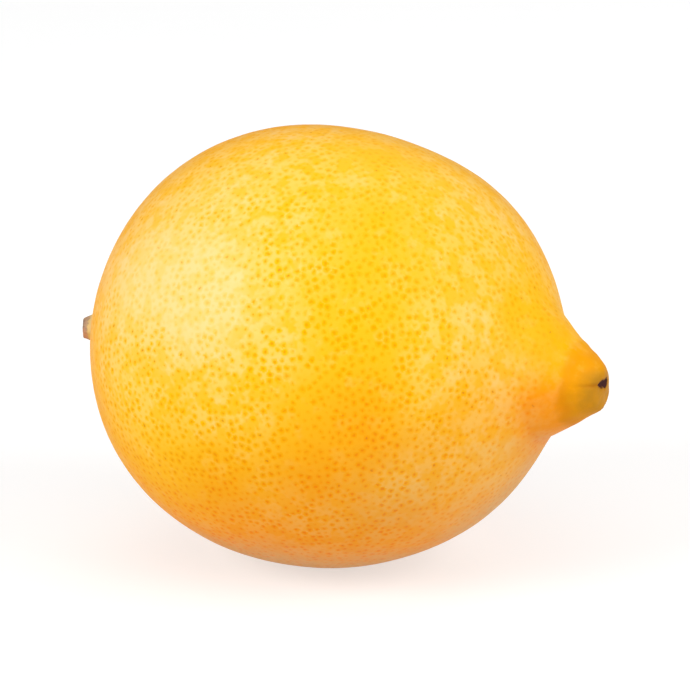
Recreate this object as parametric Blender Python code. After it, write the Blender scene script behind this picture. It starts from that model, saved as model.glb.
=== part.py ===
"""A lemon at its real size: the fruit, its calyx and the cut stub of its stem.

Metres, +Z up. The long axis lies along X, with the stem end at -X and the nipple at +X. The fruit rests on a
small flat spot, and the origin is under the middle of the whole lemon, at the height of that spot.
Every shape is worked out about the centre of the fruit's body and then set down on the flat spot.
"""

import math

import bmesh
import bpy
from mathutils import Vector

MM = 0.001

# The body is a slightly squared ellipsoid, a little fuller at its stem end.
HALF_LENGTH = 32.8 * MM
HALF_HEIGHT = 31.0 * MM
HALF_WIDTH = 30.7 * MM
SQUARENESS = 2.14
TAPER = 0.011

# Broad, shallow swells (+) and flats (-) of a grown fruit: direction, height.
SWELLS = (
    (Vector((0.31, 0.38, 0.87)), -0.68 * MM),
    (Vector((-0.86, -0.17, 0.48)), -0.25 * MM),
    (Vector((-0.84, -0.41, -0.36)), 0.12 * MM),
    (Vector((0.48, -0.09, -0.87)), -0.40 * MM),
    (Vector((0.10, 0.95, -0.20)), 0.30 * MM),
    (Vector((0.55, 0.70, 0.10)), -0.30 * MM),
)
SWELL_WIDTH = math.radians(20.0)

# The nipple is a blunt knob with a soft neck, leaning a little to -Y.
NIPPLE_DIRECTION = Vector((1.0, -0.138, 0.0)).normalized()
NIPPLE_HEIGHT = 9.6 * MM
NIPPLE_HALF_ANGLE = math.radians(9.6)
NIPPLE_STEEPNESS = 2.76
# Fuller rings on the nipple: side (+1 upper, -1 lower), angle from its axis, width, height.
NIPPLE_FULLNESS = (
    (-1.0, math.radians(8.5), math.radians(4.0), 0.44 * MM),
    (-1.0, math.radians(4.3), math.radians(1.3), 0.40 * MM),
    (1.0, math.radians(12.0), math.radians(4.0), 0.37 * MM),
)
# The mark left by the style: a shallow pit at the nipple's end.
SCAR_DEPTH = 0.45 * MM
SCAR_WIDTH = math.radians(1.6)

# The stem end: a shallow hollow for the calyx inside a soft raised collar.
STEM_DIRECTION = Vector((-1.0, 0.0, -0.025)).normalized()
HOLLOW_DEPTH = 0.9 * MM
HOLLOW_WIDTH = math.radians(7.0)
COLLAR_HEIGHT = 0.35 * MM
COLLAR_ANGLE = math.radians(13.0)
COLLAR_WIDTH = math.radians(4.5)

# How far above the body's lowest point the flat spot lies.
FLAT_DEPTH = 0.35 * MM

# Clear space kept between the solids.
GAP = 0.32 * MM

# The calyx: a thin five-lobed button that follows the hollow.
CALYX_LOBES = 5
CALYX_RADIUS = 3.3 * MM
CALYX_LOBE_DEPTH = 0.16
CALYX_THICKNESS = 0.8 * MM
CALYX_RIM_THICKNESS = 0.4 * MM

# The stem stub, along its own axis from the body's centre to the cut end.
STEM_END = 36.8 * MM
STEM_RADIUS = 1.9 * MM
STEM_FOOT_RADIUS = 2.35 * MM
STEM_CUT_BEVEL = 0.2 * MM

# Mesh steps.
FRUIT_RINGS = 48
FRUIT_SEGMENTS = 60
RING_CROWDING = 0.6
CALYX_RINGS = 4
CALYX_SEGMENTS = 40
STEM_SEGMENTS = 24


def side_axes(axis):
    """Two unit vectors across an axis, the first as near to straight up as it can be."""
    up = Vector((0.0, 0.0, 1.0))
    up = (up - axis * up.dot(axis)).normalized()
    return up, axis.cross(up)


def bell(angle, width):
    """A smooth bump: 1 at angle 0, fading over the width."""
    return math.exp(-((angle / width) ** 2))


def body_radius(direction):
    """Distance from the centre to the plain squared ellipsoid."""
    across = math.hypot(direction.y / HALF_WIDTH, direction.z / HALF_HEIGHT)
    along = abs(direction.x) / HALF_LENGTH
    radius = (along**SQUARENESS + across**SQUARENESS) ** (-1.0 / SQUARENESS)
    return radius * (1.0 - TAPER * direction.x)


def nipple_rise(direction):
    """How far the nipple stands above the plain body."""
    angle = direction.angle(NIPPLE_DIRECTION, 0.0)
    rise = NIPPLE_HEIGHT / (1.0 + (angle / NIPPLE_HALF_ANGLE) ** NIPPLE_STEEPNESS)
    rise -= SCAR_DEPTH * bell(angle, SCAR_WIDTH)
    upward, sideways = side_axes(NIPPLE_DIRECTION)
    across = math.hypot(direction.dot(upward), direction.dot(sideways))
    upness = direction.dot(upward) / max(across, 1e-9)
    for side, centre, width, height in NIPPLE_FULLNESS:
        share = (0.5 + 0.5 * side * upness) ** 2
        rise += height * share * bell(angle - centre, width)
    return rise


def stem_end_rise(direction):
    """The collar above, and the hollow below, the plain body at the stem end."""
    angle = direction.angle(STEM_DIRECTION, 0.0)
    collar = COLLAR_HEIGHT * bell(angle - COLLAR_ANGLE, COLLAR_WIDTH)
    return collar - HOLLOW_DEPTH * bell(angle, HOLLOW_WIDTH)


def skin_radius(direction):
    """Distance from the body's centre to the skin, along a unit direction."""
    radius = body_radius(direction) + nipple_rise(direction) + stem_end_rise(direction)
    for centre, height in SWELLS:
        radius += height * bell(direction.angle(centre), SWELL_WIDTH)
    return radius


def around(axis, angle, roll):
    """The unit direction at an angle from an axis, turned by roll about it."""
    upward, sideways = side_axes(axis)
    across = upward * math.cos(roll) + sideways * math.sin(roll)
    return axis * math.cos(angle) + across * math.sin(angle)


def material(name, colour, roughness):
    """A plain surface with a colour and a roughness."""
    made = bpy.data.materials.new(name)
    made.use_nodes = True
    shader = made.node_tree.nodes["Principled BSDF"]
    shader.inputs["Base Color"].default_value = (*colour, 1.0)
    shader.inputs["Roughness"].default_value = roughness
    shader.inputs["Metallic"].default_value = 0.0
    return made


def add_object(name, shape, surface, sharp_angle):
    """Turn a bmesh into a named, smooth-shaded object."""
    mesh = bpy.data.meshes.new(name)
    bmesh.ops.triangulate(shape, faces=[face for face in shape.faces if len(face.verts) > 4])
    bmesh.ops.recalc_face_normals(shape, faces=shape.faces)
    shape.to_mesh(mesh)
    shape.free()
    mesh.shade_smooth()
    mesh.set_sharp_from_angle(angle=sharp_angle)
    mesh.materials.append(surface)
    made = bpy.data.objects.new(name, mesh)
    bpy.context.collection.objects.link(made)
    return made


def close_rings(shape, first_pole, rings, last_pole):
    """Join a row of vertex rings into one closed skin, with a fan of triangles at each pole."""
    for near, far in zip(rings, rings[1:]):
        for k, corner in enumerate(near):
            shape.faces.new((corner, near[k - 1], far[k - 1], far[k]))
    for k, corner in enumerate(rings[0]):
        shape.faces.new((first_pole, rings[0][k - 1], corner))
    for k, corner in enumerate(rings[-1]):
        shape.faces.new((corner, rings[-1][k - 1], last_pole))


def make_fruit():
    """The fruit: rings from the nipple's end to the stem end, set closer together towards both."""
    shape = bmesh.new()
    rings = []
    for i in range(1, FRUIT_RINGS):
        turn = 2.0 * math.pi * i / FRUIT_RINGS
        polar = 0.5 * (turn - RING_CROWDING * math.sin(turn))
        axis = NIPPLE_DIRECTION.slerp(-STEM_DIRECTION, i / FRUIT_RINGS)
        ring = []
        for k in range(FRUIT_SEGMENTS):
            direction = around(axis, polar, 2.0 * math.pi * k / FRUIT_SEGMENTS)
            ring.append(shape.verts.new(direction * skin_radius(direction)))
        rings.append(ring)
    nipple_pole = shape.verts.new(NIPPLE_DIRECTION * skin_radius(NIPPLE_DIRECTION))
    stem_pole = shape.verts.new(STEM_DIRECTION * skin_radius(STEM_DIRECTION))
    close_rings(shape, nipple_pole, rings, stem_pole)
    cut_flat_spot(shape)
    return add_object("fruit", shape, material("lemon_peel", (0.90, 0.50, 0.04), 0.45), math.radians(40.0))


def cut_flat_spot(shape):
    """Slice off the lowest part of the fruit and close it with one flat face."""
    level = min(corner.co.z for corner in shape.verts) + FLAT_DEPTH
    everything = shape.verts[:] + shape.edges[:] + shape.faces[:]
    cut = bmesh.ops.bisect_plane(
        shape,
        geom=everything,
        plane_co=(0.0, 0.0, level),
        plane_no=(0.0, 0.0, 1.0),
        clear_inner=True,
    )
    rim = [item for item in cut["geom_cut"] if isinstance(item, bmesh.types.BMEdge)]
    bmesh.ops.contextual_create(shape, geom=rim)


def calyx_reach(roll):
    """The calyx's radius at a turn about the stem, long at each lobe."""
    return CALYX_RADIUS * (1.0 + CALYX_LOBE_DEPTH * math.cos(CALYX_LOBES * roll))


def calyx_point(share, roll, raised):
    """A point of the calyx at a share of its radius, on its underside or raised to its upper side."""
    direction = around(STEM_DIRECTION, share * calyx_reach(roll) / HALF_LENGTH, roll)
    thickness = CALYX_THICKNESS + (CALYX_RIM_THICKNESS - CALYX_THICKNESS) * share
    return direction * (skin_radius(direction) + GAP + raised * thickness)


def make_calyx():
    """The calyx: an underside that follows the hollow, and a crowned upper side."""
    shape = bmesh.new()
    shares = [i / CALYX_RINGS for i in range(1, CALYX_RINGS + 1)]
    rows = [(share, 0.0) for share in shares] + [(share, 1.0) for share in reversed(shares)]
    rings = []
    for share, raised in rows:
        rolls = [2.0 * math.pi * k / CALYX_SEGMENTS for k in range(CALYX_SEGMENTS)]
        rings.append([shape.verts.new(calyx_point(share, roll, raised)) for roll in rolls])
    under = shape.verts.new(calyx_point(0.0, 0.0, 0.0))
    crown = shape.verts.new(calyx_point(0.0, 0.0, 1.0))
    close_rings(shape, under, rings, crown)
    return add_object("calyx", shape, material("dry_calyx", (0.36, 0.27, 0.10), 0.7), math.radians(50.0))


def make_stem():
    """The stem stub: a flared foot, a short shank and a bevelled cut end, spun about the stem's axis."""
    foot = skin_radius(STEM_DIRECTION) + GAP + CALYX_THICKNESS + GAP
    waist = foot + 0.5 * (STEM_END - foot)
    profile = (
        (foot, STEM_FOOT_RADIUS),
        (waist, STEM_RADIUS),
        (STEM_END - STEM_CUT_BEVEL, STEM_RADIUS),
        (STEM_END, STEM_RADIUS - STEM_CUT_BEVEL),
    )
    shape = bmesh.new()
    upward, sideways = side_axes(STEM_DIRECTION)
    rings = []
    for reach, radius in profile:
        ring = []
        for k in range(STEM_SEGMENTS):
            roll = 2.0 * math.pi * k / STEM_SEGMENTS
            across = upward * math.cos(roll) + sideways * math.sin(roll)
            ring.append(shape.verts.new(STEM_DIRECTION * reach + across * radius))
        rings.append(ring)
    foot_centre = shape.verts.new(STEM_DIRECTION * foot)
    end_centre = shape.verts.new(STEM_DIRECTION * STEM_END)
    close_rings(shape, foot_centre, rings, end_centre)
    return add_object("stem", shape, material("cut_stem", (0.42, 0.25, 0.12), 0.75), math.radians(30.0))


def set_down(pieces):
    """Hang the pieces on an empty, and move it so that the origin is under the middle of the lemon."""
    corners = [corner.co for piece in pieces for corner in piece.data.vertices]
    low = [min(corner[i] for corner in corners) for i in range(3)]
    high = [max(corner[i] for corner in corners) for i in range(3)]
    centre = bpy.data.objects.new("body_centre", None)
    centre.location = (-0.5 * (low[0] + high[0]), -0.5 * (low[1] + high[1]), -low[2])
    bpy.context.collection.objects.link(centre)
    for piece in pieces:
        piece.parent = centre


def main():
    for leftover in list(bpy.data.objects):
        bpy.data.objects.remove(leftover, do_unlink=True)
    set_down([make_fruit(), make_calyx(), make_stem()])
    bpy.context.view_layer.update()


main()
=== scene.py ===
"""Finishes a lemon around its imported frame: rind with oil glands, nipple with its scar, calyx and cut stem.

Metres, +Z up, in the frame's own place: the long axis lies along X, stem end at -X, nipple at +X.
Run it as a script in Blender. Every size and colour that a user would change is a property in the panel.
"""

import math
from functools import reduce
from types import SimpleNamespace

import bmesh
import bpy
import numpy as np
from bpy.props import FloatProperty, FloatVectorProperty, IntProperty, PointerProperty
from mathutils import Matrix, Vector
from mathutils.bvhtree import BVHTree


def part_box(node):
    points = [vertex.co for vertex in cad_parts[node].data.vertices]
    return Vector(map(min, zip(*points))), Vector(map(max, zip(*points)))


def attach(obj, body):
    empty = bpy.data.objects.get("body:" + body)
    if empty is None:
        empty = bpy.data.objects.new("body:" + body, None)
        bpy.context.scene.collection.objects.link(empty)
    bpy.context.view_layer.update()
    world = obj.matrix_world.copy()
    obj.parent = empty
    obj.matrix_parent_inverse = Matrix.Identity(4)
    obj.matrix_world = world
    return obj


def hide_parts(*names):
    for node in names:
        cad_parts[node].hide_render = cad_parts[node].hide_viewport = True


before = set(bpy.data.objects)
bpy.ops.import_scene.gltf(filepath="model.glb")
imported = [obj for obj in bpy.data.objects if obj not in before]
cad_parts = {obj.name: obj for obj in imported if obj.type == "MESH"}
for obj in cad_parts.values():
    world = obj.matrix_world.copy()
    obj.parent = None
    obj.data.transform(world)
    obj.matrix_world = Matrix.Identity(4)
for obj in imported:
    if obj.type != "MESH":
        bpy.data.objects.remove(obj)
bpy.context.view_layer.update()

bl_info = {
    "name": "Lemon",
    "version": (1, 0, 0),
    "blender": (4, 5, 0),
    "location": "View3D > Sidebar > Lemon",
    "description": "Makes a ripe lemon with a dimpled rind, a nipple, a calyx and a cut stem",
    "category": "Add Mesh",
}

MM = 0.001
DEGREE = math.radians(1.0)

# Directions from the body's centre.
NIPPLE_DIRECTION = Vector((1.0, -0.138, 0.0)).normalized()
STEM_DIRECTION = Vector((-1.0, 0.0, -0.025)).normalized()

# Broad, shallow swells (+) and flats (-) of a grown fruit: direction, height.
SWELLS = (
    ((0.31, 0.38, 0.87), -0.68 * MM),
    ((-0.86, -0.17, 0.48), -0.25 * MM),
    ((-0.84, -0.41, -0.36), 0.12 * MM),
    ((0.48, -0.09, -0.87), -0.40 * MM),
    ((0.10, 0.95, -0.20), 0.30 * MM),
    ((0.55, 0.70, 0.10), -0.30 * MM),
)
SWELL_WIDTH = 20.0 * DEGREE

# Paler (+) and deeper (-) sides of the rind: direction, width in degrees, strength.
# The first three pale patches, on the upper left front and the right front, are partly the rind's paler tone and
# partly painted sheen where the key and fill lights' gloss falls.
# The deeper patches near the top and at the stem end are partly painted shade along the upper and left outline
# seen from the camera.
TONE_SHEEN_AND_SHADE_SIDES = (
    ((-0.47, -0.78, 0.44), 26.0, 1.10),
    ((-0.06, -0.93, 0.36), 11.0, 0.35),
    ((0.80, -0.52, 0.20), 14.0, 0.55),
    ((0.92, -0.30, 0.25), 8.0, -1.30),
    ((0.40, -0.91, 0.10), 19.0, -1.20),
    ((0.42, -0.64, 0.64), 18.0, -0.80),
    ((-0.30, -0.90, -0.33), 18.0, -1.00),
    ((0.25, -0.94, -0.22), 14.0, -0.60),
    ((-0.72, -0.55, -0.40), 22.0, -0.70),
    ((-0.965, -0.262, -0.024), 14.0, -1.30),
    ((-0.53, -0.83, 0.17), 9.0, -0.45),
    ((0.17, -0.97, 0.15), 8.0, 0.45),
    ((-0.28, -0.83, 0.48), 8.0, 0.40),
    ((0.32, -0.22, 0.92), 13.0, -0.55),
    ((0.95, -0.05, 0.32), 10.0, -0.45),
    ((0.81, -0.56, 0.12), 9.0, -0.40),
    ((0.88, -0.23, 0.40), 8.0, -0.40),
    ((0.29, -0.14, 0.95), 9.0, -0.40),
    ((0.10, 0.80, 0.60), 28.0, 0.70),
    ((-0.60, 0.60, -0.10), 22.0, -0.60),
)

# Ruddier patches: direction, width in degrees, strength.
RUDDY_SIDES = (
    ((0.88, -0.47, -0.03), 13.0, 0.30),
    ((0.44, -0.89, 0.03), 12.0, 0.22),
    ((0.26, -0.93, -0.25), 11.0, 0.26),
)

# The side whose glands show most clearly.
CLEAR_SIDE = Vector((0.0, -0.99, -0.10)).normalized()

# The side that faces the camera. Away from it, on the upper part of the fruit, the rind is tinted darker orange:
# painted shade along the outline and over the back.
CAMERA_SIDE = Vector((0.33, -0.90, 0.28)).normalized()

# Besides underneath, the rind is tan on these sides, as a painted reflection of the pale floor with painted shade:
# direction, width in degrees, strength.
FLOOR_REFLECTION_SIDES = (
    ((0.77, -0.08, -0.63), 21.0, 1.0),
    ((0.58, -0.66, -0.48), 13.0, 0.24),
)

# Fuller rings on the nipple: side (+1 upper, -1 lower), angle from its axis and width in degrees, height.
NIPPLE_FULLNESS = (
    (-1.0, 8.5, 4.0, 0.44 * MM),
    (-1.0, 4.3, 1.3, 0.66 * MM),
    (1.0, 12.0, 4.0, 0.37 * MM),
    (1.0, 14.0, 2.4, 0.18 * MM),
    (1.0, 3.7, 2.2, 0.45 * MM),
    (1.0, 8.2, 0.8, 0.20 * MM),
    (1.0, 6.2, 0.7, 0.18 * MM),
    (-1.0, 14.4, 1.5, -0.35 * MM),
)

# From the body's centre to the furthest +X and +Z points of the fruit, and how far the centre lies off Y's middle.
CENTRE_TO_TIP = 41.61 * MM
CENTRE_TO_TOP = 30.91 * MM
CENTRE_ASIDE = -0.09 * MM

# The nipple's end is this much further from the body's centre than the body's own end.
NIPPLE_REACH = 1.27

# The scar lies across the nipple's end: millimetres sideways and upward from its axis.
SCAR_CENTRE = (0.30, 0.55)
SCAR_TURN = 5.0 * DEGREE

# The net that becomes the skin: steps along each edge of a cube, blown up into a ball.
NET_STEPS = 126

# The net is denser at the nipple: the share by which it is drawn in there, and the angle over which that fades.
NET_PULL = 0.35
NET_PULL_ANGLE = 35.0 * DEGREE

# The empty border round each of the six faces' charts in the UV map, as a share of a chart.
CHART_MARGIN = 0.004

# Lengths of the small waves in the nipple's even yellow, in the ochre of its end and in the rind's roughness.
EVEN_WAVES = 2.2 * MM
OCHRE_WAVES = 2.0 * MM
ROUGHNESS_WAVES = 3.0 * MM


# Properties


def length(name, description, millimetres):
    return FloatProperty(name=name, description=description, default=millimetres * MM, unit="LENGTH")


def number(name, description, default, low, high, subtype="NONE"):
    return FloatProperty(name=name, description=description, default=default, min=low, max=high, subtype=subtype)


def angle_of(name, description, degrees):
    return FloatProperty(name=name, description=description, default=degrees * DEGREE, unit="ROTATION")


def colour_of(name, description, default):
    return FloatVectorProperty(name=name, description=description, subtype="COLOR", default=default, min=0, max=1)


class LemonFruit(bpy.types.PropertyGroup):
    half_length: length("Half length", "Body's centre to its end, without the nipple", 32.8)
    half_height: length("Half height", "Body's centre to its top", 31.0)
    half_width: length("Half width", "Body's centre to its side", 30.7)
    squareness: number("Squareness", "2 is an ellipsoid, more is boxier", 2.14, 1.5, 4.0)
    taper: number("Taper", "How much fuller the stem end is", 0.011, -0.2, 0.2)
    nipple_height: length("Nipple height", "Nipple's end above the plain body", 9.5)
    nipple_half_angle: angle_of("Nipple half angle", "Where the nipple has half its height", 9.6)
    nipple_steepness: number("Nipple steepness", "How sharply the nipple's sides rise", 2.76, 1.0, 8.0)
    hollow_depth: length("Stem hollow depth", "Hollow under the calyx", 0.9)
    collar_height: length("Stem collar height", "Soft ring round the hollow", 0.35)
    unevenness: length("Unevenness", "Height of the rind's slow waves", 0.16)
    gland_spacing: length("Gland spacing", "Least distance between oil glands", 0.90)
    gland_radius: length("Gland radius", "Radius of one oil gland's spot", 0.27)
    pit_depth: length("Pit depth", "Depth of the dimple over a gland", 0.035)
    gland_seed: IntProperty(name="Gland seed", description="Changes where the glands fall", default=7, min=0)


class LemonRind(bpy.types.PropertyGroup):
    yellow: colour_of("Yellow", "Web between the glands", (0.98, 0.615, 0.100))
    # Pale: the rind's paler tone, and the painted sheen where the lights' gloss falls.
    pale: colour_of("Pale", "Web on the paler sides", (0.98, 0.69, 0.26))
    deep: colour_of("Deep", "Halo round a gland", (0.98, 0.52, 0.0))
    # Orange tint: partly the rind's blush, partly painted shade low on the fruit and in the nipple's neck.
    orange: colour_of("Orange tint", "Tint low on the fruit and round the nipple", (1.0, 0.62, 0.47))
    # Painted shade on the upper part of the fruit, away from the camera.
    shade_tint: colour_of("Shade tint", "Tint on the riper side", (0.97, 0.78, 0.75))
    # Tan: painted reflection of the pale floor, with painted shade, underneath and on the lower sides.
    tan: colour_of("Tan", "Painted floor reflection and shade underneath", (0.69, 0.46, 0.22))
    ring: colour_of("Ring", "Halo round a gland on the deeper sides", (0.97, 0.46, 0.0))
    gland: colour_of("Gland", "Oil gland under the rind", (0.90, 0.385, 0.0))
    deep_gland: colour_of("Deep gland", "Oil gland where the rind is orange", (0.97, 0.315, 0.0))
    # Glands under the painted floor reflection turn brown.
    tan_gland: colour_of("Tan gland", "Oil gland where the rind is tan", (0.50, 0.25, 0.07))
    nipple: colour_of("Nipple", "Even colour of the nipple", (0.98, 0.52, 0.0))
    cap: colour_of("Nipple's cap", "Deeper colour of the nipple's end", (0.86, 0.33, 0.0))
    margin: colour_of("Cap's margin", "Darker line where the cap begins", (0.74, 0.25, 0.0))
    tip: colour_of("Nipple's end", "Ochre of the nipple's end", (0.52, 0.230, 0.012))
    crease: colour_of("Crease", "Fold beside the scar, and the scar's rim", (0.50, 0.165, 0.002))
    scar: colour_of("Scar", "Dry mark left by the style", (0.062, 0.019, 0.017))
    speck: colour_of("Speck", "Tiny dry blemishes", (0.52, 0.19, 0.03))
    roughness: number("Roughness", "Roughness of the waxy rind", 0.42, 0.0, 1.0, "FACTOR")


class LemonStem(bpy.types.PropertyGroup):
    lobes: IntProperty(name="Calyx lobes", description="Lobes round the calyx", default=5, min=3, max=8)
    calyx_radius: length("Calyx radius", "Mean radius of the calyx", 3.3)
    calyx_thickness: length("Calyx thickness", "Thickness beside the stem", 0.8)
    radius: length("Stem radius", "Radius near the cut end", 1.38)
    foot_radius: length("Stem foot radius", "Radius where it meets the calyx", 3.10)
    straw: colour_of("Straw", "Stem beside the fruit", (0.80, 0.53, 0.17))
    bark: colour_of("Bark", "Stem towards its cut end", (0.46, 0.25, 0.15))
    russet: colour_of("Russet", "Warmer bark under the stem", (0.62, 0.24, 0.08))
    ochre: colour_of("Ochre", "Under the stem, beside the fruit", (0.72, 0.40, 0.03))
    olive: colour_of("Olive", "Calyx", (0.23, 0.19, 0.05))
    wood: colour_of("Wood", "Cut face of the stem", (0.52, 0.33, 0.17))


class LemonStage(bpy.types.PropertyGroup):
    floor_colour: colour_of("Floor", "Plain pale floor", (0.50, 0.50, 0.50))
    azimuth: angle_of("Azimuth", "Camera's turn round the lemon, towards the nipple", 20.0)
    elevation: angle_of("Elevation", "Camera's height as an angle", 16.0)
    distance: length("Distance", "Camera to the body's centre", 450.0)
    lens: FloatProperty(name="Lens", description="Focal length in millimetres", default=167.8)


class LemonSettings(bpy.types.PropertyGroup):
    fruit: PointerProperty(type=LemonFruit)
    rind: PointerProperty(type=LemonRind)
    stem: PointerProperty(type=LemonStem)
    stage: PointerProperty(type=LemonStage)


# Node trees


class Builder:
    """Adds nodes to a tree and joins them, so that a formula reads almost like one."""

    def __init__(self, tree):
        self.tree = tree

    def add(self, kind, feeds=None, **settings):
        node = self.tree.nodes.new(kind)
        for name, value in settings.items():
            setattr(node, name, value)
        for socket, value in (feeds or {}).items():
            self.feed(node.inputs[socket], value)
        return node

    def feed(self, socket, value):
        if isinstance(value, bpy.types.NodeSocket):
            self.tree.links.new(value, socket)
        elif socket.type == "RGBA":
            socket.default_value = (*value, 1.0)
        else:
            socket.default_value = value

    def math(self, operation, *values):
        return self.add("ShaderNodeMath", dict(enumerate(values)), operation=operation).outputs[0]

    def vector(self, operation, *values):
        node = self.add("ShaderNodeVectorMath", dict(enumerate(values)), operation=operation)
        scalar = operation in ("DOT_PRODUCT", "LENGTH", "DISTANCE")
        return node.outputs["Value" if scalar else "Vector"]

    def scaled(self, vector, factor):
        return self.add("ShaderNodeVectorMath", {"Vector": vector, "Scale": factor}, operation="SCALE").outputs[0]

    def minus(self, first, second):
        return self.math("SUBTRACT", first, second)

    def ratio(self, first, second):
        return self.math("DIVIDE", first, second)

    def most(self, first, second):
        return self.math("MAXIMUM", first, second)

    def dot(self, first, second):
        return self.vector("DOT_PRODUCT", first, second)

    def total(self, *values):
        return reduce(lambda first, second: self.math("ADD", first, second), values)

    def times(self, *values):
        return reduce(lambda first, second: self.math("MULTIPLY", first, second), values)

    def bell(self, value, width, centre=0.0):
        """1 where value is at the centre, fading smoothly over the width."""
        ratio = self.ratio(self.minus(value, centre) if centre else value, width)
        return self.math("EXPONENT", self.times(ratio, ratio, -1.0))

    def ramp(self, value, low, high, to_low=0.0, to_high=1.0):
        """A smooth step of value from low to high, turned into to_low to to_high."""
        feeds = {"Value": value, "From Min": low, "From Max": high, "To Min": to_low, "To Max": to_high}
        return self.add("ShaderNodeMapRange", feeds, interpolation_type="SMOOTHSTEP").outputs["Result"]

    def noise(self, place, size, detail=2.0, roughness=0.5):
        """Smooth noise from 0 to 1, with waves about as long as size."""
        feeds = {"Vector": place, "Scale": 1.0 / size, "Detail": detail, "Roughness": roughness}
        return self.add("ShaderNodeTexNoise", feeds).outputs[0]

    def stray(self, *settings):
        """The same noise, from -0.5 to 0.5."""
        return self.minus(self.noise(*settings), 0.5)

    def angle(self, direction, axis):
        """The angle between two unit vectors, in radians."""
        across = self.vector("LENGTH", self.vector("CROSS_PRODUCT", direction, axis))
        return self.math("ARCTAN2", across, self.dot(direction, axis))

    def mix(self, factor, first, second, blend="MIX"):
        """First colour where factor is 0, second where it is 1."""
        feeds = {0: factor, 6: first, 7: second}
        return self.add("ShaderNodeMix", feeds, data_type="RGBA", blend_type=blend).outputs[2]

    def parts(self, vector):
        return self.add("ShaderNodeSeparateXYZ", {0: vector}).outputs


def new_tree(name, kind, inputs, outputs):
    """A node group with named inputs and outputs. Gives it, its builder and its input sockets by name."""
    tree = bpy.data.node_groups.new(name, kind)
    for in_out, sockets in (("INPUT", inputs), ("OUTPUT", outputs)):
        for label, socket in sockets.items():
            tree.interface.new_socket(label, in_out=in_out, socket_type="NodeSocket" + socket)
    return tree, Builder(tree), tree.nodes.new("NodeGroupInput").outputs


def geometry_tree(name, inputs):
    """A geometry node group, with an input for each given value."""
    kinds = {label: "Int" if isinstance(value, int) else "Float" for label, value in inputs.items()}
    return new_tree(name, "GeometryNodeTree", {"Geometry": "Geometry", **kinds}, {"Geometry": "Geometry"})


def run_geometry(holder, tree, inputs):
    """Run a geometry tree on an object and keep the result as its plain mesh."""
    modifier = holder.modifiers.new(tree.name, "NODES")
    modifier.node_group = tree
    identifiers = {item.name: item.identifier for item in tree.interface.items_tree if item.in_out == "INPUT"}
    for label, value in inputs.items():
        modifier[identifiers[label]] = value
    depsgraph = bpy.context.evaluated_depsgraph_get()
    evaluated = holder.evaluated_get(depsgraph)
    mesh = bpy.data.meshes.new_from_object(evaluated, preserve_all_data_layers=True, depsgraph=depsgraph)
    holder.modifiers.clear()
    holder.data = mesh


def side_axes(axis):
    """Two unit vectors across an axis, the first as near to straight up as it can be."""
    up = Vector((0.0, 0.0, 1.0))
    up = (up - axis * up.dot(axis)).normalized()
    return up, axis.cross(up)


def body_radius(b, direction, given):
    """Distance from the centre to the plain squared ellipsoid."""
    x, y, z = b.parts(direction)
    wide = b.ratio(y, given["Half Width"])
    tall = b.ratio(z, given["Half Height"])
    across = b.math("SQRT", b.total(b.times(wide, wide), b.times(tall, tall)))
    along = b.ratio(b.math("ABSOLUTE", x), given["Half Length"])
    power = given["Squareness"]
    powers = b.total(b.math("POWER", along, power), b.math("POWER", across, power))
    radius = b.math("POWER", powers, b.ratio(-1.0, power))
    return b.times(radius, b.minus(1.0, b.times(given["Taper"], x)))


def end_places(b, direction, axis):
    """From the axis of an end: the angle off it, how far up and aside, and the turn round it."""
    upward, sideways = side_axes(axis)
    up, aside = b.dot(direction, upward), b.dot(direction, sideways)
    return b.angle(direction, axis), up, aside, b.math("ARCTAN2", aside, up)


def furrows(b, place, roll, count, waves, sway):
    """Swaying furrows that run towards an end, from -1 to 1."""
    return b.math("COSINE", b.total(b.times(roll, count), b.times(b.noise(place, waves, 1.0), sway)))


def scar_axes(b, aside, up, millimetre):
    """Distances along and across the scar, from those sideways and up from the nipple's axis."""
    u = b.minus(aside, SCAR_CENTRE[0] * millimetre)
    v = b.minus(up, SCAR_CENTRE[1] * millimetre)
    along = b.total(b.times(u, math.cos(SCAR_TURN)), b.times(v, math.sin(SCAR_TURN)))
    over = b.total(b.times(v, math.cos(SCAR_TURN)), b.times(u, -math.sin(SCAR_TURN)))
    return along, over


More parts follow.
